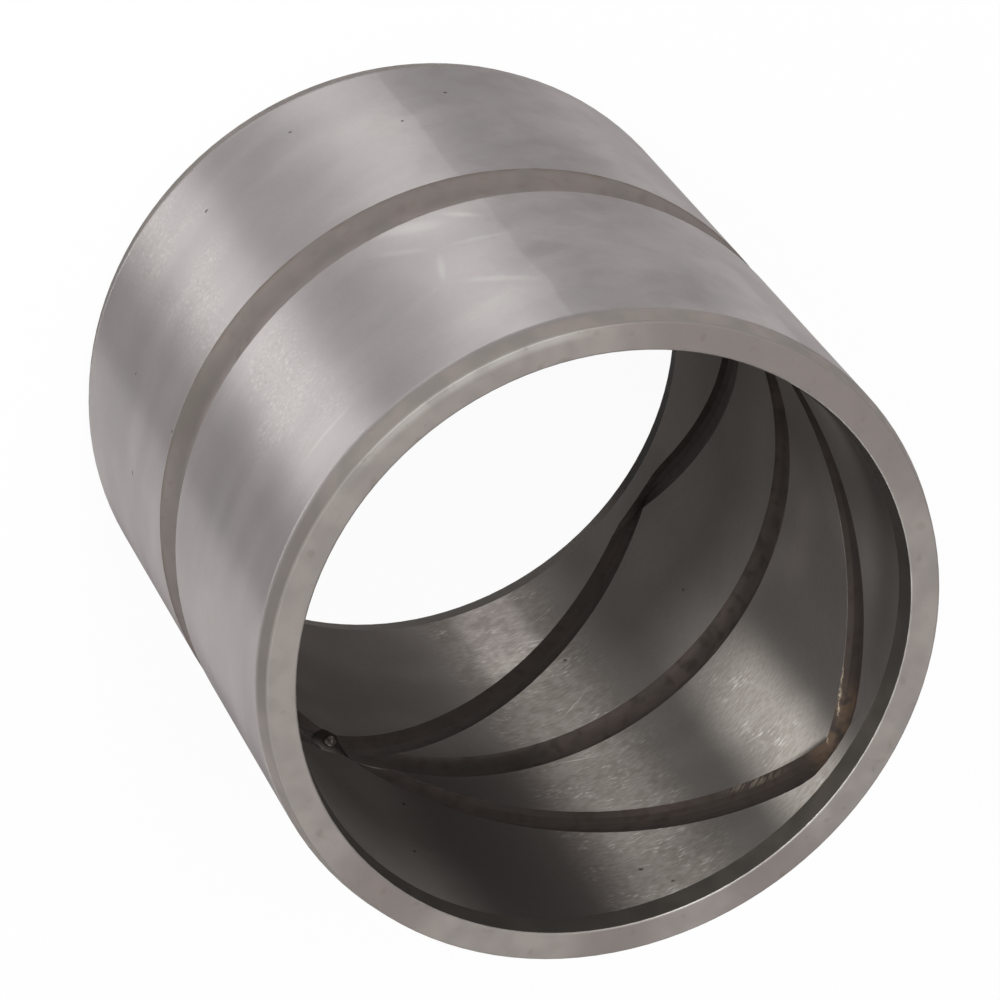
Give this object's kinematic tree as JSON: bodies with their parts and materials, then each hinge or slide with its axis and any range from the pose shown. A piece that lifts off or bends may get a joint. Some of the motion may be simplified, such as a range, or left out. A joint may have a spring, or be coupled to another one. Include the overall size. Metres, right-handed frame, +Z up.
{
  "type": "bushing",
  "caption": "Plain steel sleeve bushing with a grease groove around its outside, a radial feed hole, and a ring groove and crossing zigzag grooves in its bore.",
  "frame": {"origin": "centre of the lower end face, on the bore's axis", "axes": "+Z up along the bore axis, from the lower end face to the upper; +X through the grease hole"},
  "size_m": [0.09, 0.09, 0.09],
  "materials": {
    "ground_steel": "ground and lightly worn"
  },
  "bodies": {
    "root": {"bushing": "ground_steel"}
  },
  "joints": []
}
